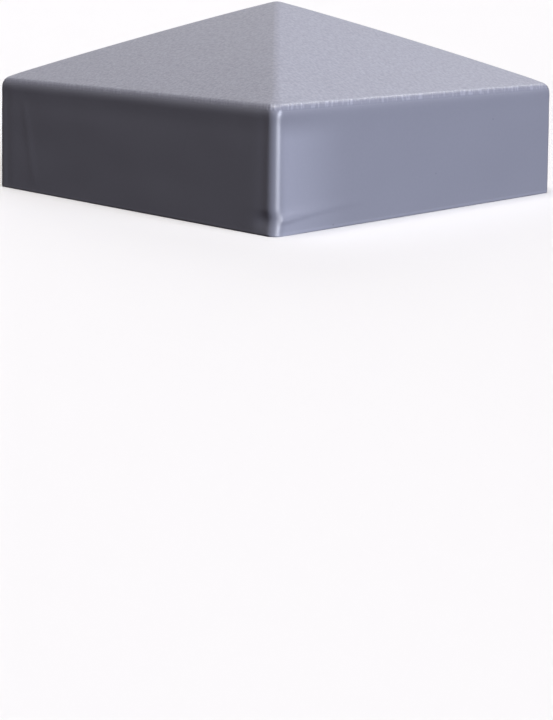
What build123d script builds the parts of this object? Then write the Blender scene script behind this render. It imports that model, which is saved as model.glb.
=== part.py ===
from build123d import *
import os
from math import atan, cos, radians, sin, sqrt, tan

os.makedirs("parts", exist_ok=True)

# Pyramid cap for a square fence post, moulded in plastic.
# Millimetres. The origin is the centre of the mouth plane, +Z points up to the apex,
# and the four walls face -Y (front), +X (right), +Y (back) and -X (left).

# The post, and how the cap sits on it
post_side = 90.0  # side of the square post
post_clearance = 0.5  # gap from a post face to the locating ribs
seat_drop = 3.0  # how far the top of the post stays below the eaves

# Skirt: four walls that widen slightly towards the mouth
skirt_height = 27.0  # mouth to eaves
draft_angle = 1.5  # degrees of mould draft
wall = 2.2  # thickness of the skirt and of the roof
corner_radius = 2.3  # upright corners outside, at the eaves
inner_corner_radius = 0.8  # upright corners inside, at the eaves
rim_edge_radius = 0.4  # outer edge of the mouth's rim

# Roof: a shallow pyramid with slightly bowed faces
roof_rise = 20.0  # eaves to apex, before rounding
roof_bow = 0.45  # how far the middle of a roof face stands out of its flat chord
hip_radius = 5.5  # the four hips
eave_radius = 2.1  # where the roof turns into the skirt

# Locating ribs on the inside of the skirt, two to a wall
rib_depth = 2.3  # from the skirt's inner face at the mouth to the rib's face
rib_thickness = 1.6
rib_spread = 25.0  # from the middle of a wall to each of its ribs
rib_start = 5.0  # height of a rib's lower end above the mouth
rib_lead_in = 4.0  # height of the slope that guides the post in

# Seat bosses under the roof, one to a quarter, and the webs that join them
boss_diameter = 18.0
boss_wall = 1.8
boss_setback = 15.0  # from a post face to the middle of a boss
web_thickness = 1.6
web_relief = 1.0  # how far the webs end above the bosses

# Self-adhesive foam pads on the ends of the bosses
pad_diameter = 17.0
pad_thickness = 1.6

# What follows from the sizes above
draft = radians(draft_angle)
wall_across = wall / cos(draft)  # the skirt's wall, measured level
post_half = post_side / 2
rib_face = post_half + post_clearance
inner_foot = rib_face + rib_depth
mouth_half = inner_foot + wall_across
draft_widening = skirt_height * tan(draft)  # from the eaves to the mouth, on each side
eave_half = mouth_half - draft_widening
apex_height = skirt_height + roof_rise
roof_slope = atan(roof_rise / eave_half)
roof_reach = mouth_half + 1  # the roof's section runs a little past the skirt
seat_height = skirt_height - seat_drop
boss_end = seat_height + pad_thickness
web_end = boss_end + web_relief
boss_offset = post_half - boss_setback
boss_bore = boss_diameter - 2 * boss_wall
quarters = {
    "front_left": (-boss_offset, -boss_offset),
    "front_right": (boss_offset, -boss_offset),
    "back_left": (-boss_offset, boss_offset),
    "back_right": (boss_offset, boss_offset),
}


def roof_section(inset):
    """Section under the roof through the middle of the cap, moved inwards by inset."""
    apex = apex_height - inset / cos(roof_slope)
    foot = apex - roof_reach * tan(roof_slope)
    bow_x = roof_reach / 2 + roof_bow * sin(roof_slope)
    bow_z = (foot + apex) / 2 + roof_bow * cos(roof_slope)
    with BuildSketch() as section:
        with BuildLine():
            Polyline((-roof_reach, foot), (-roof_reach, 0), (roof_reach, 0), (roof_reach, foot))
            ThreePointArc((roof_reach, foot), (bow_x, bow_z), (0, apex))
            ThreePointArc((0, apex), (-bow_x, bow_z), (-roof_reach, foot))
        make_face()
    return section.sketch


def cap_block(inset, upright_radius):
    """Solid block under the roof: a drafted prism, cut off by the roof along X and along Y."""
    foot = mouth_half - inset / cos(draft)
    with BuildPart() as block:
        with BuildSketch():
            RectangleRounded(2 * foot, 2 * foot, upright_radius + draft_widening)
        extrude(amount=apex_height, taper=draft_angle)
        for plane in (Plane.XZ, Plane.YZ):
            with BuildSketch(plane):
                add(roof_section(inset))
            extrude(amount=roof_reach, both=True, mode=Mode.INTERSECT)
    return block.part


# The outside of the shell: the full block with its hips, eaves and rim rounded
with BuildPart() as outside:
    add(cap_block(0, corner_radius))
    fillet(outside.edges().group_by(Axis.Z)[-1], hip_radius)
    eaves = outside.edges().filter_by_position(Axis.Z, skirt_height - 1, skirt_height + 1)
    fillet(eaves, min(eave_radius, corner_radius - 0.1))
    fillet(outside.edges().group_by(Axis.Z)[0], rim_edge_radius)

# Ribs, bosses and webs, drawn long and then cut off in the middle of the shell's wall
with BuildPart() as stiffening:
    # Locating ribs: each stands out from its wall and slopes away at its lower end
    for turn in range(4):
        for along in (-rib_spread, rib_spread):
            with BuildSketch(Plane.XZ.rotated((0, 0, 90 * turn)).offset(along)):
                with BuildLine():
                    Polyline(
                        (rib_face, apex_height),
                        (rib_face, rib_start + rib_lead_in),
                        (inner_foot, rib_start),
                        (mouth_half, rib_start),
                        (mouth_half, apex_height),
                        close=True,
                    )
                make_face()
            extrude(amount=rib_thickness / 2, both=True)
    # Webs: a square through the four bosses and a cross through the middle
    with BuildSketch(Plane.XY.offset(web_end)):
        Rectangle(2 * boss_offset + web_thickness, 2 * boss_offset + web_thickness)
        Rectangle(2 * boss_offset - web_thickness, 2 * boss_offset - web_thickness, mode=Mode.SUBTRACT)
        for angle in (45, -45):
            Rectangle(boss_offset * 2 * sqrt(2), web_thickness, rotation=angle)
    extrude(amount=apex_height - web_end)
    # Seat bosses: a ring crossed by two short webs that end level with it
    with BuildSketch(Plane.XY.offset(boss_end)):
        with Locations(*quarters.values()):
            Circle(boss_diameter / 2)
            Circle(boss_bore / 2, mode=Mode.SUBTRACT)
            Rectangle(boss_bore + boss_wall, web_thickness)
            Rectangle(web_thickness, boss_bore + boss_wall)
    extrude(amount=apex_height - boss_end)
    add(cap_block(wall / 2, inner_corner_radius), mode=Mode.INTERSECT)

# The moulding: the hollow shell with its stiffening
with BuildPart() as cap_shell:
    add(outside.part)
    add(cap_block(wall, inner_corner_radius), mode=Mode.SUBTRACT)
    add(stiffening.part)
cap_shell.part.label = "cap_shell"
export_step(cap_shell.part, "parts/cap_shell.step")

# Foam pads that seat the cap on the top of the post and hold it there
for quarter, (x, y) in quarters.items():
    with BuildPart() as seat_pad:
        with BuildSketch(Plane.XY.offset(seat_height)):
            with Locations((x, y)):
                Circle(pad_diameter / 2)
        extrude(amount=pad_thickness)
    seat_pad.part.label = f"seat_pad_{quarter}"
    export_step(seat_pad.part, f"parts/seat_pad_{quarter}.step")
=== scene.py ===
# %% [markdown]
# # A pyramid cap for a fence post
#
# The cap is one plastic moulding that slips over the top of a square post. Four foam pads inside it
# stick it down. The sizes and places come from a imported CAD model, which this script loads first as a
# fixed frame. The moulding and the pads are then modelled again with Blender's own tools, because a
# CAD mesh has no moulding marks, no grain and only as many facets as its curves need.

# %% Load the CAD frame
from math import atan, cos, degrees, exp, pi, radians, sin, sqrt, tan

import bmesh
import bpy
from mathutils import Matrix, Vector, noise
from mathutils.geometry import interpolate_bezier


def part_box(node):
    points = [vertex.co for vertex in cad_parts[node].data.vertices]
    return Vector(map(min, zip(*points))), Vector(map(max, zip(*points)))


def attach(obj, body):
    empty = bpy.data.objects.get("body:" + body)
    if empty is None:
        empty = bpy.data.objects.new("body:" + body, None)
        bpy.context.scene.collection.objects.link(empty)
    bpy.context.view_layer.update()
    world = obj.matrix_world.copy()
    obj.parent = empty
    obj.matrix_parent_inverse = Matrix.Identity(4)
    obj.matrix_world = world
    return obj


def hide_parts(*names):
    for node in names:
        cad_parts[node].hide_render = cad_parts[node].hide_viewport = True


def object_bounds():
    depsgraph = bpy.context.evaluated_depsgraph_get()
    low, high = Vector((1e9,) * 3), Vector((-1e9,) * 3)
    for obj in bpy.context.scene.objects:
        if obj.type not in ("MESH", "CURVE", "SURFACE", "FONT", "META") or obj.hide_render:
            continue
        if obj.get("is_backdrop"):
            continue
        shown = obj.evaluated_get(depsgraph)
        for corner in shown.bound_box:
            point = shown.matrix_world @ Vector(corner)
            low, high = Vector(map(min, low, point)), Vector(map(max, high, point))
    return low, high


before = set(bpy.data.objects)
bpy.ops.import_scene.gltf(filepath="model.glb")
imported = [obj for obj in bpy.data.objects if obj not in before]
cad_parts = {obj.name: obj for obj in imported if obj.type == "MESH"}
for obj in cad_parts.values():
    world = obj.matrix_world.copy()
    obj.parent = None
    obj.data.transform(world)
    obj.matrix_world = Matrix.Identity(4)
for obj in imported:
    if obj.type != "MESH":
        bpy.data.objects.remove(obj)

MM = 0.001
cad_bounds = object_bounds()
print("CAD nodes:", sorted(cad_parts))

# %% [markdown]
# ## Sizes
#
# The outer sizes are read from the frame, so the moulding fills the CAD box and no more. The rest
# are the moulding's own sizes in millimetres, as a toolmaker would write them on the drawing.

# %% Sizes of the moulding
shell_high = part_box("cap_shell")[1]
pad_low, pad_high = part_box("seat_pad_front_right")
MOUTH_HALF = shell_high.x / MM        # widest, just above the rim
PEAK = shell_high.z / MM
SKIRT_HEIGHT = 27.0                   # mouth to eaves
DRAFT = radians(1.5)                  # how far the skirt leans, so that it leaves the mould
WALL = 2.2
ROOF_RISE = 20.0
ROOF_BOW = 0.45                       # a roof face stands this far out of its flat chord
RIM_RADIUS = 0.25                     # outer edge of the rim
EAVE_ABOVE = 1.3                      # the eaves start to turn this far up the roof
EAVE_BELOW = 2.5                      # and end this far down the skirt
CORNER_AT_MOUTH = 2.5                 # radius of an upright corner at its foot
CORNER_AT_EAVES = 2.4                 # and at its top
HIP_CORNER = 1.3                      # the same, seen from above, along the hips of the roof
INNER_CORNER = 1.2

eave_half = MOUTH_HALF - SKIRT_HEIGHT * tan(DRAFT)
apex = SKIRT_HEIGHT + ROOF_RISE       # where the roof faces would meet if they weren't rounded
slope = ROOF_RISE / eave_half
print(f"mouth {2 * MOUTH_HALF:.1f} mm, eaves {2 * eave_half:.1f} mm, peak {PEAK:.1f} mm,",
      f"roof slope {degrees(atan(slope)):.1f} degrees")

# %% [markdown]
# ## One ring, laid many times
#
# Every level of the cap, from the rim to the peak, is the same rounded square at another size. So the
# moulding starts as one ring of edges: a square whose four corner points are bevelled round, with its
# sides divided. Extruding the ring and laying it at the next level builds the skin, and all the faces
# stay clean four-sided strips, which is what makes a soft highlight run true along the corners.
#
# Each point remembers two things: its station, which is its place on a square without round corners,
# and the way outwards from there.

# %% The first ring
CORNER_STEPS = 12
SIDE_STEPS = 104
CROWDING = 0.5                        # how much closer the points lie near the corners


def rounded_square(bm, half, corner):
    """A ring of edges in the mouth plane, whose points know their station and their way outwards."""
    square = bmesh.ops.create_grid(bm, x_segments=1, y_segments=1, size=half)
    bmesh.ops.bevel(bm, geom=square["verts"], offset=corner, offset_type="OFFSET", affect="VERTICES",
                    segments=CORNER_STEPS, profile=0.5, material=-1)
    sides = [edge for edge in bm.edges if edge.calc_length() > half]
    bmesh.ops.subdivide_edges(bm, edges=sides, cuts=SIDE_STEPS - 1)
    bmesh.ops.delete(bm, geom=bm.faces[:], context="FACES_ONLY")
    straight = half - corner
    station = bm.verts.layers.float_vector.new("station")
    for vert in bm.verts:
        core = Vector([max(-straight, min(straight, value)) for value in vert.co.xy])
        bend = vert.co.xy - core
        share = core / straight
        share = Vector([t + CROWDING * sin(pi * t) / pi if abs(t) < 1 else t for t in share])
        vert[station] = (share.x, share.y, 0)
        vert.co.xy = share * straight + bend
    outward = bm.verts.layers.float_vector.new("outward")
    for vert in bm.verts:
        core = Vector(vert[station]).xy * straight
        vert[outward] = ((vert.co.xy - core) / corner).to_3d()
    return bm.edges[:]


# %% [markdown]
# Laying a ring at another level scales the stations and steps outwards by the corner radius. Scaling the
# whole ring would be simpler, but then the radius would shrink with it.

# %% The next rings
def lay_ring(bm, verts, half, corner, height):
    """Lays a ring's points at another level: half its width, its corner radius and its height."""
    station = bm.verts.layers.float_vector["station"]
    outward = bm.verts.layers.float_vector["outward"]
    for vert in verts:
        vert.co = vert[station] * (half - corner) + vert[outward] * corner
        vert.co.z = height


def next_ring(bm, edges, level):
    """Extrudes the ring and lays the new one at level. Gives the new ring's edges and points."""
    made = bmesh.ops.extrude_edge_only(bm, edges=edges)["geom"]
    verts = [item for item in made if isinstance(item, bmesh.types.BMVert)]
    edges = [item for item in made if isinstance(item, bmesh.types.BMEdge)]
    lay_ring(bm, verts, *level)
    return edges, verts


# %% [markdown]
# ## Two curves for shaping
#
# Two small curves do much of the shaping below: a hump, which fades on both sides, and a ramp, which
# leads smoothly from one level to another.

# %% Two curves for shaping
def hump(distance, width):
    """1 where distance is 0, fading smoothly to nothing on both sides."""
    return exp(-(distance / width) ** 2)


def ramp(value, start, end):
    """0 at start and 1 at end, eased at both ends."""
    share = min(1.0, max(0.0, (value - start) / (end - start)))
    return share * share * (3 - 2 * share)


print("ramp:", [round(ramp(share, 0, 1), 2) for share in (0, 0.25, 0.5, 0.75, 1)])

# %% [markdown]
# ## The side of the cap
#
# The skirt leans in towards the roof, so that the cap leaves its mould. The roof is low and bows out a
# little, and its sharp tip is rounded away. Two small formulas give the width and the height at every
# place, and a third says how round the corners are there.

# %% Widths, heights and corner radii
TIP_DROP = apex - PEAK                # how much of the sharp tip is rounded away
HIP_START = 4.5                       # a hip has its own radius from this far inside the eaves
ROUNDEST = 0.7                        # no corner radius is more than this share of half the width


def skirt_half(height):
    """Half the skirt's width at a height."""
    return MOUTH_HALF - (height - RIM_RADIUS) * tan(DRAFT)


def roof_height(half):
    """Height of the roof's outside, half a width out from the middle."""
    share = half / eave_half
    bow = 4 * ROOF_BOW * share * (1 - share)
    return apex - sqrt((half * slope) ** 2 + TIP_DROP ** 2) + bow


def roof_corner(half):
    """Corner radius on the roof: it tightens just above the eaves, and closes towards the peak."""
    ease = ramp(eave_half - half, 0, HIP_START)
    return min(CORNER_AT_EAVES + (HIP_CORNER - CORNER_AT_EAVES) * ease, ROUNDEST * half)


print(f"roof at the eaves {roof_height(eave_half):.1f} mm, in the middle {roof_height(0):.1f} mm")

# %% [markdown]
# The levels follow the cap's side view: round the rim's edge, up the leaning skirt, over the eaves and
# up the roof. The eaves aren't a plain arc, as a bevel would give. They turn quickly at the roof and
# slowly into the skirt, so they are a Bezier curve whose handles point at the corner that it rounds.

# %% Levels of the outside
RIM_STEPS, SKIRT_STEPS, EAVE_STEPS, ROOF_STEPS = 4, 70, 14, 40
EAVE_PULL = 0.65                      # how far the handles reach towards the corner
TIP_RINGS = (0.6, 0.3)                # two more rings round the tip, as shares of the last one


def outside_levels():
    """(half width, corner radius, height) of each ring from the rim's edge to just under the peak."""
    levels = []
    for step in range(1, RIM_STEPS + 1):
        turn = pi / 2 * step / RIM_STEPS
        half = MOUTH_HALF - RIM_RADIUS * (1 - sin(turn))
        levels.append((half, CORNER_AT_MOUTH, RIM_RADIUS * (1 - cos(turn))))
    corner = Vector((eave_half, roof_height(eave_half)))
    below = corner - EAVE_BELOW * Vector((-sin(DRAFT), cos(DRAFT)))
    above = Vector((eave_half - EAVE_ABOVE, roof_height(eave_half - EAVE_ABOVE)))
    for step in range(1, SKIRT_STEPS + 1):
        height = RIM_RADIUS + (below.y - RIM_RADIUS) * step / SKIRT_STEPS
        share = height / SKIRT_HEIGHT
        radius = CORNER_AT_MOUTH + (CORNER_AT_EAVES - CORNER_AT_MOUTH) * share
        levels.append((skirt_half(height), radius, height))
    handles = [end.lerp(corner, EAVE_PULL) for end in (below, above)]
    for point in interpolate_bezier(below, *handles, above, EAVE_STEPS + 1)[1:]:
        levels.append((point.x, roof_corner(point.x), point.y))
    roof_start = levels[-1][0]
    for step in range(1, ROOF_STEPS):
        half = roof_start * (1 - step / ROOF_STEPS)
        levels.append((half, roof_corner(half), roof_height(half)))
    for share in TIP_RINGS:
        tip = half * share
        levels.append((tip, roof_corner(tip), roof_height(tip)))
    return levels


print("levels outside:", len(outside_levels()))

# %% [markdown]
# The inside is seen only from below, so it has fewer levels. It follows the outside at the wall's
# thickness, which is measured level at the skirt and square to the slope under the roof.

# %% Levels of the inside
INNER_SKIRT_STEPS, INNER_ROOF_STEPS = 4, 9
roof_drop = WALL / cos(atan(slope))   # the wall's thickness, measured straight down


def inside_levels():
    """(half width, corner radius, height) of each ring from the rim's inner edge to under the peak."""
    levels = [(skirt_half(0) - WALL, INNER_CORNER, 0.0)]
    inner_half = skirt_half(SKIRT_HEIGHT) - WALL
    inner_eaves = roof_height(inner_half) - roof_drop
    for step in range(1, INNER_SKIRT_STEPS + 1):
        height = inner_eaves * step / INNER_SKIRT_STEPS
        levels.append((skirt_half(height) - WALL, INNER_CORNER, height))
    for step in range(1, INNER_ROOF_STEPS):
        half = inner_half * (1 - step / INNER_ROOF_STEPS)
        levels.append((half, min(INNER_CORNER, ROUNDEST * half), roof_height(half) - roof_drop))
    return levels


print("levels inside:", len(inside_levels()))

# %% [markdown]
# Both skins grow from the same first ring, which is the outer edge of the rim's flat. Under the peak
# and on it, the last ring is merged to one point, so the moulding has no hole there.

# %% Build the shell
shell_mesh = bmesh.new()
first_ring = rounded_square(shell_mesh, MOUTH_HALF - RIM_RADIUS, CORNER_AT_MOUTH)
outer_verts = []
ring = first_ring
for level in outside_levels():
    ring, verts = next_ring(shell_mesh, ring, level)
    outer_verts += verts
bmesh.ops.pointmerge(shell_mesh, verts=verts, merge_co=(0, 0, PEAK))
outer_verts = [vert for vert in outer_verts if vert.is_valid]
ring = first_ring
for level in inside_levels():
    ring, verts = next_ring(shell_mesh, ring, level)
bmesh.ops.pointmerge(shell_mesh, verts=verts, merge_co=(0, 0, roof_height(0) - roof_drop))
bmesh.ops.recalc_face_normals(shell_mesh, faces=shell_mesh.faces)
print("shell faces:", len(shell_mesh.faces), "open edges:", sum(e.is_boundary for e in shell_mesh.edges))
print("volume in cubic cm:", round(shell_mesh.calc_volume() / 1000, 1))

# %% [markdown]
# ## Marks of the mould
#
# A real wall is never flat. The plastic shrinks as it cools, so the walls draw in beside their corners
# and under the eaves, and they are a little wavy. These marks are tenths of a millimetre, but a smooth
# wall shows them. Sculpting them by hand would give another result each time, so each mark is a
# formula: how far a point of the skin moves in or out, in millimetres.

# %% Marks of every wall
DRAWN_IN, DRAWN_REACH = 0.08, 6.5                  # beside the corners, fading over this distance
GROOVE_AT, GROOVE_DEPTH, GROOVE_WIDTH = 4.2, 0.07, 1.6    # upright, this far from each corner
SAG_AT, SAG_DEPTH, SAG_WIDTH = 22.0, 0.04, 2.4     # level, at this height
WAVE_LENGTH, WAVE_HEIGHT, WAVE_DEPTH = 16, 9, 0.07
WAVE_LEVEL = 0.6                                   # keeps nearly every wave on the inner side


def wall_mark(point):
    """How far the skirt is drawn in at a point, in millimetres. It never stands out."""
    from_corner = MOUTH_HALF - min(abs(point.x), abs(point.y))
    depth = -DRAWN_IN * exp(-from_corner / DRAWN_REACH)
    depth -= GROOVE_DEPTH * hump(from_corner - GROOVE_AT, GROOVE_WIDTH)
    depth -= SAG_DEPTH * hump(point.z - SAG_AT, SAG_WIDTH)
    wave = noise.noise(Vector((point.x / WAVE_LENGTH, point.y / WAVE_LENGTH, point.z / WAVE_HEIGHT)))
    depth += WAVE_DEPTH * (wave - WAVE_LEVEL) * ramp(from_corner, 3, 12)
    return depth * (1 - ramp(point.z, SKIRT_HEIGHT - 3, SKIRT_HEIGHT))


print(f"in the middle of the front wall: {wall_mark(Vector((0, -MOUTH_HALF, 12))):.2f} mm")

# %% [markdown]
# ### The pinched corner
#
# At the front corner the melt met a cold edge. The corner is pinched near the mouth, so its crest slips
# sideways there. A flow line, which is where two fronts of melt met, leaves the pinch and runs along
# the right wall, steep below and soft above. The wall beside the corner is drawn in further.

# %% Marks of the right wall
RIDGE_START, RIDGE_RISE, RIDGE_BEND = 2.85, 0.115, 0.0014     # the flow line's course
RIDGE_ABOVE, RIDGE_BELOW = 1.6, 0.5                # how far its two flanks reach
RIDGE_NEAR, RIDGE_NEAR_REACH = 0.34, 8             # its height beside the corner
RIDGE_FAR = 0.10                                   # and further along, until it ends
DRAWN_AT_PINCH, PINCH_REACH = 0.14, 7


def flow_line(point):
    """A low ridge that starts at the pinch and runs along the right wall, rising slowly."""
    from_corner = point.y + MOUTH_HALF
    rise = point.z - (RIDGE_START + RIDGE_RISE * from_corner - RIDGE_BEND * from_corner ** 2)
    near = RIDGE_NEAR * hump(from_corner, RIDGE_NEAR_REACH)
    far = RIDGE_FAR * (1 - ramp(from_corner, 12, 34))
    strength = ramp(from_corner, 1.0, 3.5) * (near + far)
    return strength * hump(rise, RIDGE_ABOVE if rise > 0 else RIDGE_BELOW)


def right_wall_mark(point):
    """What only the right wall has: it is drawn in beside the pinched corner, and has the flow line."""
    on_skirt = 1 - ramp(point.z, SKIRT_HEIGHT - 4, SKIRT_HEIGHT - 1)
    return flow_line(point) - DRAWN_AT_PINCH * exp(-(point.y + MOUTH_HALF) / PINCH_REACH) * on_skirt


print(f"flow line 5 mm from the corner: {flow_line(Vector((MOUTH_HALF, 5 - MOUTH_HALF, 3.4))):.2f} mm")

# %% [markdown]
# The pinch itself is a slip and not a push: the corner's crest moves along the right wall, and the end
# of the front wall is drawn in with it.

# %% The pinch
PINCH_HEIGHT, PINCH_FADE = 3.2, 2.6                # where it is deepest, and how soon it ends above
PINCH_SLIP = 0.34                                  # how far the corner's crest moves
PINCH_CORE, PINCH_WIDTH = 1.5, 3.5                 # full this close to the corner, then fading


def pinch(point):
    """How far the front corner's crest slips along the right wall."""
    from_corner = Vector((MOUTH_HALF - point.x, MOUTH_HALF + point.y)).length
    above = ramp(point.z, PINCH_HEIGHT, PINCH_HEIGHT + PINCH_FADE)
    height = ramp(point.z, 0.2, PINCH_HEIGHT) * (1 - above)
    return PINCH_SLIP * height * hump(max(0.0, from_corner - PINCH_CORE), PINCH_WIDTH)


# %% [markdown]
# ### The fold
#
# Near its far end the front wall has a faint upright fold that leans a little. It is where the wall
# buckled by a hair as it was pushed off the core.

# %% The fold
FOLD_FROM_END, FOLD_TOP = 12.0, 19.4               # where its top is, along the wall and in height
FOLD_LEAN = 0.21                                   # how far it leans in each millimetre down
FOLD_HEIGHT, FOLD_WIDTH = 0.05, 1.3


def fold(point):
    """A faint upright fold near the far end of the front wall."""
    off_fold = point.x + MOUTH_HALF - FOLD_FROM_END - FOLD_LEAN * (FOLD_TOP - point.z)
    return FOLD_HEIGHT * hump(off_fold, FOLD_WIDTH) * ramp(point.z, 1, 5) * (1 - ramp(point.z, 19, 24))


# %% [markdown]
# ### Push the skin
#
# Each point is pushed level, along its normal seen from above. A mark that belongs to one wall counts
# by how squarely the point faces that way, so it fades out round the corner. No mark stands out
# further than the rim, which keeps the moulding inside its box.

# %% Push the skin
shell_mesh.normal_update()
pushed = []
for vert in outer_verts:
    out = vert.normal.copy()
    out.z = 0
    push = wall_mark(vert.co)
    push += max(0.0, out.x) ** 2 * right_wall_mark(vert.co)
    push += max(0.0, -out.y) ** 2 * fold(vert.co)
    push = min(push, max(0.0, vert.co.z - RIM_RADIUS) * tan(DRAFT))
    pushed.append(push)
    slip = pinch(vert.co)
    vert.co += out * push
    vert.co.y += slip
print(f"skin pushed by {min(pushed):.2f} to {max(pushed):.2f} mm")

# %% [markdown]
# ## Ribs, bosses and webs
#
# Inside, the moulding has eight locating ribs that centre the post, four seat bosses under the roof,
# and webs that join them. They are plain mould features, so each is a block or a tube with small
# rounded edges. Their upper ends are laid half-way into the roof's wall, and a Boolean union then
# welds everything into one closed moulding, as it comes out of the tool. The pads in the frame say
# where the bosses stand and how far down they reach.

# %% Where the bosses are
boss_place = (pad_low.x + pad_high.x) / 2 / MM
boss_end = pad_high.z / MM
print(f"bosses {boss_place:.1f} mm out, ending {boss_end:.1f} mm above the mouth")

# %% [markdown]
# All of them are made from below: first the lower face, as a footprint, and then its extrusion up to
# the roof. A last bevel rounds the lower face's outline, except on the short bars across a boss.

# %% A footprint, raised to the roof
TOOL_RADIUS = 0.25                    # the mould's own small rounding on every rib
SHARP = radians(20)                   # edges that turn more than this are creases


def wall_middle(x, y):
    """Height of the middle of the roof's wall over a point."""
    return roof_height(max(abs(x), abs(y))) - roof_drop / 2


def footprint(bm, length, thickness, place, turn=0.0, steps=1):
    """The lower face of a rib or web: a strip divided along its length, turned about Z and moved."""
    verts = bmesh.ops.create_grid(bm, x_segments=steps, y_segments=1, size=0.5)["verts"]
    bmesh.ops.scale(bm, vec=(length, thickness, 1), verts=verts)
    bmesh.ops.rotate(bm, matrix=Matrix.Rotation(turn, 3, "Z"), verts=verts)
    bmesh.ops.translate(bm, vec=place, verts=verts)
    return verts


def raise_to_roof(bm, verts):
    """Extrudes a footprint upwards and lays its top half-way into the roof's wall."""
    faces = {face for vert in verts for face in vert.link_faces}
    made = bmesh.ops.extrude_face_region(bm, geom=list(faces), use_keep_orig=True)["geom"]
    tops = [item for item in made if isinstance(item, bmesh.types.BMVert)]
    for vert in tops:
        vert.co.z = wall_middle(vert.co.x, vert.co.y)
    return tops


def soften(bm, verts):
    """Rounds the outline of a footprint, where the mould's own small radius shows."""
    faces = {face for vert in verts for face in vert.link_faces if set(face.verts) <= set(verts)}
    outline = {edge for face in faces for edge in face.edges if edge.calc_face_angle(0) > SHARP}
    bmesh.ops.bevel(bm, geom=list(outline), offset=TOOL_RADIUS, offset_type="OFFSET", affect="EDGES",
                    segments=2, profile=0.5, material=-1)


# %% [markdown]
# A locating rib stands half a millimetre off the side of the post and keeps the cap centred on it. Its
# lower end slopes back to the wall, so that the cap finds its own way over the post.

# %% Locating ribs
RIB_FACE = 45.5                       # from the middle of the cap to a rib's face
RIB_FOOT = 47.8                       # and to where its slope starts at the wall
RIB_START, RIB_LEAD_IN = 5.0, 4.0     # height of the slope's foot, and the slope's own height
RIB_THICK = 1.6
RIB_SPREAD = 25.0                     # each wall has two, this far from its middle


def locating_rib(bm, turn, along):
    """A rib that stands out from one wall, with a slope at its lower end that guides the post in."""
    reach = skirt_half(SKIRT_HEIGHT / 2) - WALL / 2
    depth = reach - RIB_FACE
    verts = footprint(bm, depth, RIB_THICK, (RIB_FACE + depth / 2, along, RIB_START))
    for vert in verts:
        vert.co.z += RIB_LEAD_IN * max(0.0, RIB_FOOT - vert.co.x) / (RIB_FOOT - RIB_FACE)
    tops = raise_to_roof(bm, verts)
    bmesh.ops.rotate(bm, matrix=Matrix.Rotation(turn, 3, "Z"), verts=verts + tops)
    soften(bm, verts)


# %% [markdown]
# A boss is a short tube with two webs across it, which gives the foam a flat place to stick to. Longer
# webs join the bosses to one another. They end a little higher, so that only the pads touch the post.

# %% Bosses and webs
BOSS_RADIUS, BOSS_WALL = 9.0, 1.8
WEB_THICK = 1.6
WEB_RELIEF = 1.0                      # how far the webs end above the bosses
WEB_STEPS, BAR_STEPS, BOSS_SIDES = 24, 6, 48


def web(bm, length, place, turn):
    """A web under the roof, divided along its length so that its top can follow the roof."""
    verts = footprint(bm, length, WEB_THICK, (*place, boss_end + WEB_RELIEF), turn, steps=WEB_STEPS)
    raise_to_roof(bm, verts)
    soften(bm, verts)


def seat_boss(bm, x, y):
    """A ring that the foam pad is stuck to."""
    outer = bmesh.ops.create_circle(bm, segments=BOSS_SIDES, radius=BOSS_RADIUS)["verts"]
    inner = bmesh.ops.create_circle(bm, segments=BOSS_SIDES, radius=BOSS_RADIUS - BOSS_WALL)["verts"]
    verts = outer + inner
    bmesh.ops.bridge_loops(bm, edges=list({edge for vert in verts for edge in vert.link_edges}))
    bmesh.ops.translate(bm, vec=(x, y, boss_end), verts=verts)
    raise_to_roof(bm, verts)
    soften(bm, verts)


def boss_bar(bm, x, y, turn):
    """One of the two short webs across a boss."""
    length = 2 * BOSS_RADIUS - BOSS_WALL
    verts = footprint(bm, length, WEB_THICK, (x, y, boss_end), turn, steps=BAR_STEPS)
    raise_to_roof(bm, verts)


# %% [markdown]
# ## Weld them into one moulding
#
# The Manifold solver welds a closed mesh in a fraction of a second, but the ribs that it adds together
# mustn't overlap one another. So they are welded group by group, and no two ribs of a group touch.

# %% Helpers for welding and shading
SMOOTH_LIMIT = radians(32)            # shading breaks at edges sharper than this


def to_object(bm, name):
    """Ends a bmesh as an object at the origin, in metres."""
    bmesh.ops.scale(bm, vec=(MM, MM, MM), verts=bm.verts)
    mesh = bpy.data.meshes.new(name)
    bm.to_mesh(mesh)
    bm.free()
    made = bpy.data.objects.new(name, mesh)
    bpy.context.scene.collection.objects.link(made)
    return made


def smooth_by_angle(mesh):
    """Smooth shading that stops at sharp edges."""
    bm = bmesh.new()
    bm.from_mesh(mesh)
    for face in bm.faces:
        face.smooth = True
    for edge in bm.edges:
        edge.smooth = edge.calc_face_angle(0) < SMOOTH_LIMIT
    bm.to_mesh(mesh)
    bm.free()


def weld_on(made, bm):
    """Welds the closed shapes in bm onto the object made."""
    bmesh.ops.recalc_face_normals(bm, faces=bm.faces)
    added = to_object(bm, "ribs")
    weld = made.modifiers.new("weld", "BOOLEAN")
    weld.operation = "UNION"
    weld.solver = "MANIFOLD"
    weld.object = added
    old = made.data
    made.data = bpy.data.meshes.new_from_object(made.evaluated_get(bpy.context.evaluated_depsgraph_get()))
    made.modifiers.clear()
    bpy.data.objects.remove(added)
    bpy.data.meshes.remove(old)


# %% [markdown]
# First come the ribs with one pair of webs, then the other pair, then the two diagonal webs, which cross
# each other and so are welded one by one.

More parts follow.
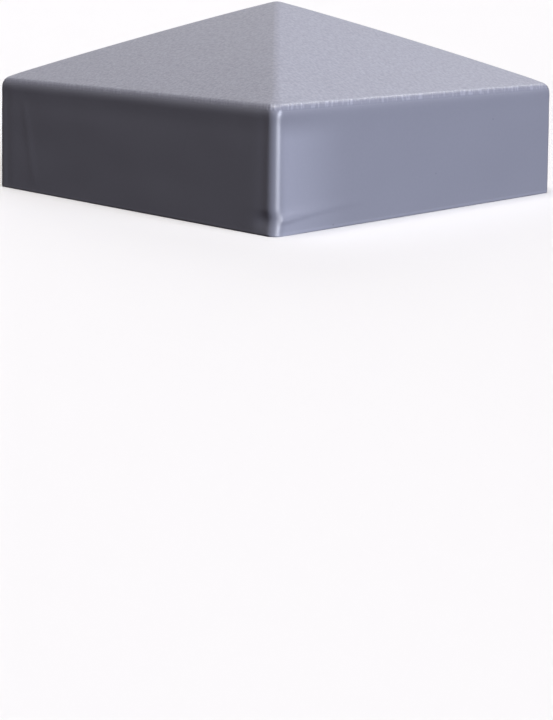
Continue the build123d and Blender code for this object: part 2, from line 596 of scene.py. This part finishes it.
# %% Weld the ribs and the webs
shell = to_object(shell_mesh, "cap_moulding")
group = bmesh.new()
for quarter in range(4):
    for along in (-RIB_SPREAD, RIB_SPREAD):
        locating_rib(group, quarter * pi / 2, along)
for side in (-boss_place, boss_place):
    web(group, 2 * boss_place, (0, side), 0)
weld_on(shell, group)
group = bmesh.new()
for side in (-boss_place, boss_place):
    web(group, 2 * boss_place, (side, 0), pi / 2)
weld_on(shell, group)
for turn in (pi / 4, -pi / 4):
    group = bmesh.new()
    web(group, 2 * sqrt(2) * boss_place, (0, 0), turn)
    weld_on(shell, group)
print("faces with ribs and webs:", len(shell.data.polygons))

# %% [markdown]
# The bosses go on over the webs' ends, and their own cross webs go on over the bosses.

# %% Weld the bosses and their bars
bosses = [(x, y) for x in (-boss_place, boss_place) for y in (-boss_place, boss_place)]
group = bmesh.new()
for x, y in bosses:
    seat_boss(group, x, y)
weld_on(shell, group)
for turn in (0, pi / 2):
    group = bmesh.new()
    for x, y in bosses:
        boss_bar(group, x, y, turn)
    weld_on(shell, group)
shell.data.name = "cap_moulding"
print("faces with bosses:", len(shell.data.polygons))

# %% [markdown]
# A weld can fail without a word, so the result is checked: every edge should have exactly two faces.
# The moulding is then shaded smooth, except at its sharp edges.

# %% Check and shade the moulding
check = bmesh.new()
check.from_mesh(shell.data)
print("moulding closed:", all(edge.is_manifold for edge in check.edges),
      "volume in cubic cm:", round(check.calc_volume() / MM ** 3 / 1000, 2))
check.free()
smooth_by_angle(shell.data)
shell.data.calc_loop_triangles()
print("moulding:", len(shell.data.polygons), "faces,", len(shell.data.loop_triangles), "triangles")

# %% [markdown]
# ## Foam pads
#
# Each pad is a disc punched from closed-cell foam sheet with glue on both faces. A punch drags the foam
# as it cuts, so the side is slightly waisted and its edges are soft. A circle extruded ring by ring up
# the side, each ring with its own width, gives that shape. The two ends are then filled.

# %% Foam pads
PAD_SIDE = ((0.0, 0.965), (0.07, 0.99), (0.16, 1.0), (0.35, 0.985), (0.5, 0.98),
            (0.65, 0.985), (0.84, 1.0), (0.93, 0.99), (1.0, 0.965))   # height and width, as shares
PAD_SIDES = 64                        # segments of its circle


def foam_pad(name, low, high):
    """A punched foam disc that fills the box from low to high, in metres."""
    middle = (low + high) / 2
    radius = (high.x - low.x) / 2
    bm = bmesh.new()
    edges = []
    for share, width in PAD_SIDE:
        if edges:
            made = bmesh.ops.extrude_edge_only(bm, edges=edges)["geom"]
            verts = [item for item in made if isinstance(item, bmesh.types.BMVert)]
            edges = [item for item in made if isinstance(item, bmesh.types.BMEdge)]
        else:
            verts = bmesh.ops.create_circle(bm, segments=PAD_SIDES, radius=radius * width)["verts"]
            edges = bm.edges[:]
        for vert in verts:
            vert.co = (vert.co.xy.normalized() * radius * width).to_3d()
            vert.co.z = (high.z - low.z) * share
    bmesh.ops.holes_fill(bm, edges=bm.edges)
    bmesh.ops.recalc_face_normals(bm, faces=bm.faces)
    bmesh.ops.translate(bm, vec=(middle.x, middle.y, low.z), verts=bm.verts)
    mesh = bpy.data.meshes.new(name)
    bm.to_mesh(mesh)
    bm.free()
    smooth_by_angle(mesh)
    pad = bpy.data.objects.new(name, mesh)
    bpy.context.scene.collection.objects.link(pad)
    return pad


pads = {}
for node in sorted(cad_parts):
    if node.startswith("seat_pad_"):
        pads[node] = foam_pad("foam_" + node, *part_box(node))
print("pads:", [pad.name for pad in pads.values()])

# %% [markdown]
# ## Materials
#
# A material is a small web of nodes. Both read Object coordinates, turned into millimetres first, so
# every pattern's size is a real size. One helper adds a node, sets it up and links it.

# %% Node helper
EASED = {"interpolation_type": "SMOOTHSTEP"}


def linear(code):
    """An sRGB hex colour as the linear colour that a shader works in."""
    values = [int(code[i:i + 2], 16) / 255 for i in (1, 3, 5)]
    values = [v / 12.92 if v <= 0.04045 else ((v + 0.055) / 1.055) ** 2.4 for v in values]
    return (*values, 1.0)


def add(tree, kind, inputs=None, **settings):
    """Adds a node with its settings. Each input takes a value, a socket, or a node's first output."""
    node = tree.nodes.new("ShaderNode" + kind)
    for key, value in settings.items():
        setattr(node, key, value)
    for key, value in (inputs or {}).items():
        if isinstance(value, bpy.types.Node):
            value = value.outputs[0]
        if isinstance(value, bpy.types.NodeSocket):
            tree.links.new(value, node.inputs[key])
        else:
            node.inputs[key].default_value = value
    return node


def new_material(name):
    """An empty material, its tree, its shader and its coordinates in millimetres."""
    material = bpy.data.materials.new(name)
    material.use_nodes = True
    tree = material.node_tree
    tree.nodes.clear()
    shader = add(tree, "BsdfPrincipled")
    add(tree, "OutputMaterial", {"Surface": shader})
    metres = add(tree, "TexCoord").outputs["Object"]
    place = add(tree, "VectorMath", {0: metres, "Scale": 1 / MM}, operation="SCALE")
    return material, tree, shader, place


# %% [markdown]
# ### Moulded ABS: where its two finishes lie
#
# The cap is grey ABS, slightly blue. The mould's roof was spark-eroded to a fine matt grain, and its
# skirt was left as it was milled and stoned, so the skirt is smoother and catches a soft highlight.
# Height alone tells them apart. Between them, the eaves are a polished band crossed by short strokes,
# where the toolmaker's stone slipped over the edge. The ceiling inside is as high as the eaves, so the
# band is also kept to the outside of the cap.

# %% Moulded ABS: finishes
GRAIN_START, GRAIN_FULL = 26.3, 27.3        # heights between which the roof's grain sets in
BAND_START, BAND_FULL = 25.9, 26.5          # between which the polished band of the eaves sets in
BAND_WANES, BAND_END = 27.2, 27.7           # and between which it fades out again
BAND_DEEP = 3.0                             # the band ends this far in from the eaves
abs_plastic, tree, shader, place = new_material("moulded_abs")
shader.inputs["IOR"].default_value = 1.53
shader.inputs["Metallic"].default_value = 0.0
axes = add(tree, "SeparateXYZ", {0: place})
height = axes.outputs["Z"]
on_roof = add(tree, "MapRange", {"Value": height, "From Min": GRAIN_START, "From Max": GRAIN_FULL}, **EASED)
over_skirt = add(tree, "MapRange", {"Value": height, "From Min": BAND_START, "From Max": BAND_FULL}, **EASED)
under_roof = add(tree, "MapRange", {"Value": height, "From Min": BAND_END, "From Max": BAND_WANES}, **EASED)
at_eaves = add(tree, "Math", {0: over_skirt, 1: under_roof}, operation="MULTIPLY")
sideways = add(tree, "Math", {0: axes.outputs["X"]}, operation="ABSOLUTE")
lengthways = add(tree, "Math", {0: axes.outputs["Y"]}, operation="ABSOLUTE")
from_middle = add(tree, "Math", {0: sideways, 1: lengthways}, operation="MAXIMUM")
outside = add(tree, "Math", {0: from_middle, 1: eave_half - BAND_DEEP}, operation="GREATER_THAN")
at_eaves = add(tree, "Math", {0: at_eaves, 1: outside}, operation="MULTIPLY")
print("nodes for the finishes:", len(tree.nodes))

# %% [markdown]
# The strokes are one noise, stretched: fine along the eaves and long across them. X plus Y runs along
# every eave, so one pattern serves all four. They are strongest over the right wall, where the light
# falls on them, so there their pale tone below is partly a painted highlight.

# %% Moulded ABS: strokes
STROKE_SPACING, STROKE_LENGTH = 0.65, 4.0
RIGHT_START, RIGHT_FULL = 45.5, 46.5        # X where the strokes grow to full strength
ELSEWHERE = 0.4                             # their strength over the other walls
along = add(tree, "Math", {0: axes.outputs["X"], 1: axes.outputs["Y"]}, operation="ADD")
along = add(tree, "Math", {0: along, 1: 1 / STROKE_SPACING}, operation="MULTIPLY")
across = add(tree, "Math", {0: height, 1: 1 / STROKE_LENGTH}, operation="MULTIPLY")
stretched = add(tree, "CombineXYZ", {"X": along, "Y": across})
strokes = add(tree, "TexNoise", {"Vector": stretched, "Scale": 1.0, "Detail": 1.0})
strokes = add(tree, "MapRange", {"Value": strokes, "From Min": 0.50, "From Max": 0.60}, **EASED)
strong = add(tree, "MapRange", {"Value": axes.outputs["X"], "From Min": RIGHT_START,
                                "From Max": RIGHT_FULL, "To Min": ELSEWHERE, "To Max": 1.0}, **EASED)
eave_strokes = add(tree, "Math", {0: strokes, 1: at_eaves}, operation="MULTIPLY")
eave_strokes = add(tree, "Math", {0: eave_strokes, 1: strong}, operation="MULTIPLY")
print("strokes", STROKE_SPACING, "mm apart")

# %% [markdown]
# ### Moulded ABS: tone
#
# Plastic of one colour still varies. A soft mottle is the flow of the melt. A fine speckle is the grain
# of the roof, where every pit holds a little shade. The strokes are paler than the rest: a painted
# highlight, strongest over the lit right wall. A pale line on the rim is a painted highlight along its
# edge. Each adds a little to the tone, or takes some away. Real grain is under a tenth of a millimetre,
# too fine to show, so the speckle is drawn much coarser.

# %% Moulded ABS: tone
MOTTLE_SIZE, MOTTLE_TONE = 18.0, 0.04
SPECKLE_SIZE, SPECKLE_TONE = 0.7, 0.50
SPECKLE_ON_SKIRT = 0.05
STROKE_PAINTED_HIGHLIGHT = 0.24
RIM_HIGHLIGHT_FULL, RIM_HIGHLIGHT_GONE, RIM_HIGHLIGHT_TONE = 0.6, 1.0, 0.12    # painted highlight, full up to the first height, gone from the second
mottle = add(tree, "TexNoise", {"Vector": place, "Scale": 1 / MOTTLE_SIZE, "Detail": 2.0})
tone = add(tree, "Math", {0: mottle, 1: MOTTLE_TONE, 2: 1 - MOTTLE_TONE}, operation="MULTIPLY_ADD")
speckle = add(tree, "TexNoise", {"Vector": place, "Scale": 1 / SPECKLE_SIZE, "Detail": 1.0})
speckle = add(tree, "Math", {0: speckle, 1: 0.5}, operation="SUBTRACT")
contrast = add(tree, "Math", {0: on_roof, 1: SPECKLE_TONE, 2: SPECKLE_ON_SKIRT}, operation="MULTIPLY_ADD")
tone = add(tree, "Math", {0: speckle, 1: contrast, 2: tone}, operation="MULTIPLY_ADD")
# The strokes' pale tone is a painted highlight, strongest over the lit right wall; their relief is real.
tone = add(tree, "Math", {0: eave_strokes, 1: STROKE_PAINTED_HIGHLIGHT, 2: tone}, operation="MULTIPLY_ADD")
# A painted highlight along the rim's lower edge, where the edge catches the light.
painted_rim_highlight = add(tree, "MapRange", {"Value": height, "From Min": RIM_HIGHLIGHT_GONE, "From Max": RIM_HIGHLIGHT_FULL}, **EASED)
tone = add(tree, "Math", {0: painted_rim_highlight, 1: RIM_HIGHLIGHT_TONE, 2: tone}, operation="MULTIPLY_ADD")
print("mottle", MOTTLE_SIZE, "mm, speckle", SPECKLE_SIZE, "mm across")

# %% [markdown]
# Beside the pinched corner the right wall is lit brighter, and the pale patch is a painted sheen that
# stands in for that light. It is a product of four fades: past the corner, not far from it, low down,
# and on the right wall.

# %% Moulded ABS: painted sheen beside the corner
PAINTED_SHEEN_NEAR, PAINTED_SHEEN_FAR = (1.2, 3.8), (3.0, 24.0)     # from the corner: where it sets in, and fades out
PAINTED_SHEEN_UP = (19.5, 24.5)                            # heights between which it fades out
PAINTED_SHEEN_ROUND = (2.5, 1.5)                           # it sets in this far inside the right wall
PAINTED_SHEEN_TONE = 0.27
from_corner = add(tree, "Math", {0: axes.outputs["Y"], 1: MOUTH_HALF}, operation="ADD")
past_corner = add(tree, "MapRange", {"Value": from_corner, "From Min": PAINTED_SHEEN_NEAR[0],
                                     "From Max": PAINTED_SHEEN_NEAR[1]}, **EASED)
near_corner = add(tree, "MapRange", {"Value": from_corner, "From Min": PAINTED_SHEEN_FAR[1],
                                     "From Max": PAINTED_SHEEN_FAR[0]}, **EASED)
low_down = add(tree, "MapRange", {"Value": height, "From Min": PAINTED_SHEEN_UP[1], "From Max": PAINTED_SHEEN_UP[0]}, **EASED)
on_right = add(tree, "MapRange", {"Value": axes.outputs["X"], "From Min": MOUTH_HALF - PAINTED_SHEEN_ROUND[0],
                                  "From Max": MOUTH_HALF - PAINTED_SHEEN_ROUND[1]}, **EASED)
pale = add(tree, "Math", {0: past_corner, 1: near_corner}, operation="MULTIPLY")
pale = add(tree, "Math", {0: pale, 1: low_down}, operation="MULTIPLY")
pale = add(tree, "Math", {0: pale, 1: on_right}, operation="MULTIPLY")
# Painted sheen: the right wall is made lighter beside the front corner, where the light falls on it.
tone = add(tree, "Math", {0: pale, 1: PAINTED_SHEEN_TONE, 2: tone}, operation="MULTIPLY_ADD")
print("pale patch reaches", PAINTED_SHEEN_FAR[1], "mm from the corner")

# %% [markdown]
# A few dark specks are dirt in the melt: the very middles of wide Voronoi cells. The tone is then
# complete, and multiplies the one base colour.

# %% Moulded ABS: specks and colour
SPECK_SPACING = 9.0
SPECK_CORE, SPECK_EDGE = 0.018, 0.030             # a speck's reach, as shares of the spacing
SPECK_TONE = -0.25
specks = add(tree, "TexVoronoi", {"Vector": place, "Scale": 1 / SPECK_SPACING}, feature="F1")
specks = add(tree, "MapRange", {"Value": specks, "From Min": SPECK_EDGE, "From Max": SPECK_CORE}, **EASED)
tone = add(tree, "Math", {0: specks, 1: SPECK_TONE, 2: tone}, operation="MULTIPLY_ADD")
plastic_grey = linear("#92929c")
colour = add(tree, "Mix", {0: 1.0, 6: plastic_grey, 7: tone}, data_type="RGBA", blend_type="MULTIPLY")
tree.links.new(colour.outputs[2], shader.inputs["Base Color"])
print("specks about", SPECK_SPACING, "mm apart")

# %% [markdown]
# ### Moulded ABS: gloss and relief
#
# Roughness says how far a highlight spreads: about 0.62 on the grained roof, 0.33 on the stoned skirt
# and least on the polished eaves. The relief is a bump of hundredths of a millimetre: the grain of the
# roof, the strokes, and everywhere a faint unevenness. The grain is drawn coarser than the real one
# here too, for the same reason.

# %% Moulded ABS: gloss and relief
ROUGHNESS, ROOF_ROUGHER, EAVES_SMOOTHER, MOTTLE_ROUGH = 0.28, 0.29, 0.25, 0.10
GRAIN_SIZE, UNEVEN_SIZE = 0.42, 2.5
STROKE_RELIEF, UNEVEN_RELIEF = 0.80, 0.15         # shares of the grain's depth
RELIEF_DEPTH = 0.045
rough = add(tree, "Math", {0: on_roof, 1: ROOF_ROUGHER, 2: ROUGHNESS}, operation="MULTIPLY_ADD")
rough = add(tree, "Math", {0: mottle, 1: MOTTLE_ROUGH, 2: rough}, operation="MULTIPLY_ADD")
rough = add(tree, "Math", {0: at_eaves, 1: -EAVES_SMOOTHER, 2: rough}, operation="MULTIPLY_ADD")
tree.links.new(rough.outputs[0], shader.inputs["Roughness"])

grain = add(tree, "TexNoise", {"Vector": place, "Scale": 1 / GRAIN_SIZE, "Detail": 3.0})
relief = add(tree, "Math", {0: grain, 1: on_roof}, operation="MULTIPLY")
relief = add(tree, "Math", {0: eave_strokes, 1: STROKE_RELIEF, 2: relief}, operation="MULTIPLY_ADD")
uneven = add(tree, "TexNoise", {"Vector": place, "Scale": 1 / UNEVEN_SIZE, "Detail": 2.0})
relief = add(tree, "Math", {0: uneven, 1: UNEVEN_RELIEF, 2: relief}, operation="MULTIPLY_ADD")
bump = add(tree, "Bump", {"Height": relief, "Strength": 1.0, "Distance": RELIEF_DEPTH * MM})
tree.links.new(bump.outputs["Normal"], shader.inputs["Normal"])
print("nodes in", abs_plastic.name + ":", len(tree.nodes))

# %% [markdown]
# ### Closed-cell foam
#
# The pads are black polyethylene foam. Its skin of tiny closed cells makes it very matt, with a faint
# sparkle where cut cells catch the light, so it has cells in its bump and in its colour.

# %% Closed-cell foam
CELL_SIZE, BLOTCH_SIZE, CELL_DEPTH = 0.35, 3.0, 0.05
foam, tree, shader, place = new_material("closed_cell_foam")
shader.inputs["IOR"].default_value = 1.49
cells = add(tree, "TexVoronoi", {"Vector": place, "Scale": 1 / CELL_SIZE}, feature="F1")
blotch = add(tree, "TexNoise", {"Vector": place, "Scale": 1 / BLOTCH_SIZE, "Detail": 2.0})
cell_tone = add(tree, "MapRange", {"Value": cells, "From Min": 0.1, "From Max": 0.7, "To Min": 0.75,
                                   "To Max": 1.15}, **EASED)
cell_tone = add(tree, "Math", {0: blotch, 1: 0.2, 2: cell_tone}, operation="MULTIPLY_ADD")
foam_black = linear("#26262a")
colour = add(tree, "Mix", {0: 1.0, 6: foam_black, 7: cell_tone}, data_type="RGBA", blend_type="MULTIPLY")
tree.links.new(colour.outputs[2], shader.inputs["Base Color"])
rough = add(tree, "MapRange", {"Value": blotch, "From Min": 0.3, "From Max": 0.7, "To Min": 0.80,
                               "To Max": 0.92}, **EASED)
tree.links.new(rough.outputs[0], shader.inputs["Roughness"])
bump = add(tree, "Bump", {"Height": cells, "Strength": 1.0, "Distance": CELL_DEPTH * MM})
tree.links.new(bump.outputs["Normal"], shader.inputs["Normal"])
print("nodes in", foam.name + ":", len(tree.nodes))

# %% [markdown]
# ## Tie the pieces to the frame
#
# Each piece takes its material and rides on the root body, and the CAD node that it stands for is
# hidden.

# %% Tie the pieces to the frame
shell.data.materials.clear()             # the welds leave an empty slot
shell.data.materials.append(abs_plastic)
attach(shell, "root")
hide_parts("cap_shell")
for node, pad in pads.items():
    pad.data.materials.append(foam)
    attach(pad, "root")
    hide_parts(node)

# %% [markdown]
# ## Floor, light and camera
#
# The cap stands on a pale floor. A studio keeps one side of a plain grey object dark, so that its
# corner reads. Here the floor's bounce is switched off for the same reason: the floor is seen, and
# takes the shadow, but it throws no light up at the dark wall.

# %% Floor
FLOOR_HALF = 6.0                      # metres, so that its edge is far out of sight
floor_mesh = bmesh.new()
bmesh.ops.create_grid(floor_mesh, x_segments=1, y_segments=1, size=FLOOR_HALF)
floor_data = bpy.data.meshes.new("floor")
floor_mesh.to_mesh(floor_data)
floor_mesh.free()
floor = bpy.data.objects.new("floor", floor_data)
bpy.context.scene.collection.objects.link(floor)
floor.visible_diffuse = False
floor.visible_glossy = False
floor.visible_shadow = False
floor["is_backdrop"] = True
paper, tree, shader, place = new_material("pale_paper")
shader.inputs["Base Color"].default_value = linear("#f0eeec")
shader.inputs["Roughness"].default_value = 0.9
shader.inputs["Specular IOR Level"].default_value = 0.2
floor_data.materials.append(paper)
print("floor", 2 * FLOOR_HALF, "m wide, in", paper.name)

# %% [markdown]
# ### Soft lights
#
# Three big softboxes light the cap: a cool one at its right, one overhead and a weak one behind. Two
# strips are only seen in reflections, as a white card is beside a glossy object. One draws the bright
# line down the front corner, and the other draws the line along the right eaves.

# %% Soft lights
def direction(azimuth, elevation):
    """A unit vector. Azimuth 0 is +X and grows towards +Y, both in degrees."""
    across, up = radians(azimuth), radians(elevation)
    return Vector((cos(up) * cos(across), cos(up) * sin(across), sin(up)))


def far_softbox(name, azimuth, elevation, spread, irradiance, colour, only_reflected=False):
    """A big soft light so far away that it lights the whole floor alike. spread is its angle.

    A light that is only_reflected shows in highlights, and doesn't brighten a matt surface.
    """
    light = bpy.data.lights.new(name, "SUN")
    light.angle = radians(spread)
    light.energy = irradiance
    light.color = linear(colour)[:3]
    made = bpy.data.objects.new(name, light)
    made.rotation_euler = direction(azimuth, elevation).to_track_quat("Z", "Y").to_euler()
    made.visible_diffuse = not only_reflected
    bpy.context.scene.collection.objects.link(made)


far_softbox("side_softbox", 0, 18, 34, 3.55, "#e6edff")
far_softbox("top_softbox", -90, 84, 34, 2.35, "#fffdfb")
far_softbox("back_softbox", 145, 14, 40, 0.9, "#ffffff")
far_softbox("corner_strip", -14, 1, 38, 2.05, "#f4f6ff", only_reflected=True)
far_softbox("eave_strip", 97, 46, 24, 0.95, "#ffffff", only_reflected=True)
print("lights:", [light.name for light in bpy.data.lights])

# %% [markdown]
# The world has two brightnesses. The camera sees a pale backdrop, and the cap is lit by a dim one, so
# the shade stays deep in front of a light background.

# %% Backdrop
world = bpy.data.worlds.new("studio")
world.use_nodes = True
bpy.context.scene.world = world
tree = world.node_tree
tree.nodes.clear()
seen_directly = add(tree, "LightPath").outputs["Is Camera Ray"]
dim = add(tree, "Background", {"Color": linear("#ffdcee"), "Strength": 0.03})
pale = add(tree, "Background", {"Color": linear("#fcfbfc"), "Strength": 1.0})
backdrop = add(tree, "MixShader", {0: seen_directly, 1: dim, 2: pale})
add(tree, "OutputWorld", {"Surface": backdrop})
print("world:", world.name)

# %% [markdown]
# ### Camera
#
# The camera looks at the front corner from a little above, from under 40 centimetres, which is close
# enough for the near corner to look larger than the far ones. It is placed in a frame turned by an
# eighth of a turn, whose Y axis runs from the front corner to the back one.

# %% Camera
LENS = 73.88                          # focal length on a sensor 36 mm wide
YAW, PITCH, ROLL = radians(44.82), radians(14.92), radians(0.70)
AWAY, ASIDE, ABOVE = 376.0 * MM, -0.2 * MM, 55.0 * MM    # from the middle of the mouth
camera_data = bpy.data.cameras.new("camera")
camera_data.lens = LENS
camera_data.sensor_width = 36.0
camera_data.sensor_fit = "AUTO"
camera_data.clip_start = 0.01
camera = bpy.data.objects.new("camera", camera_data)
bpy.context.scene.collection.objects.link(camera)
bpy.context.scene.camera = camera
level = Matrix.Rotation(YAW, 4, "Z") @ Matrix.Rotation(pi / 2 - PITCH, 4, "X")
turned = level @ Matrix.Rotation(ROLL, 4, "Z")
place = Matrix.Rotation(pi / 4, 4, "Z") @ Vector((ASIDE, -AWAY, ABOVE))
camera.matrix_world = Matrix.Translation(place) @ turned
bpy.context.scene.view_settings.view_transform = "Standard"
print("camera at", [round(value, 4) for value in place], "m")

# %% [markdown]
# ## Sizes, and the end
#
# The boxes of the CAD and of the visual model are written down side by side, to compare them.

# %% Sizes, and the end
visual_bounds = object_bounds()
sizes = {"cad": [list(corner) for corner in cad_bounds], "visual": [list(corner) for corner in visual_bounds]}
for name, corners in sizes.items():
    print(name, [[round(value / MM, 2) for value in corner] for corner in corners])
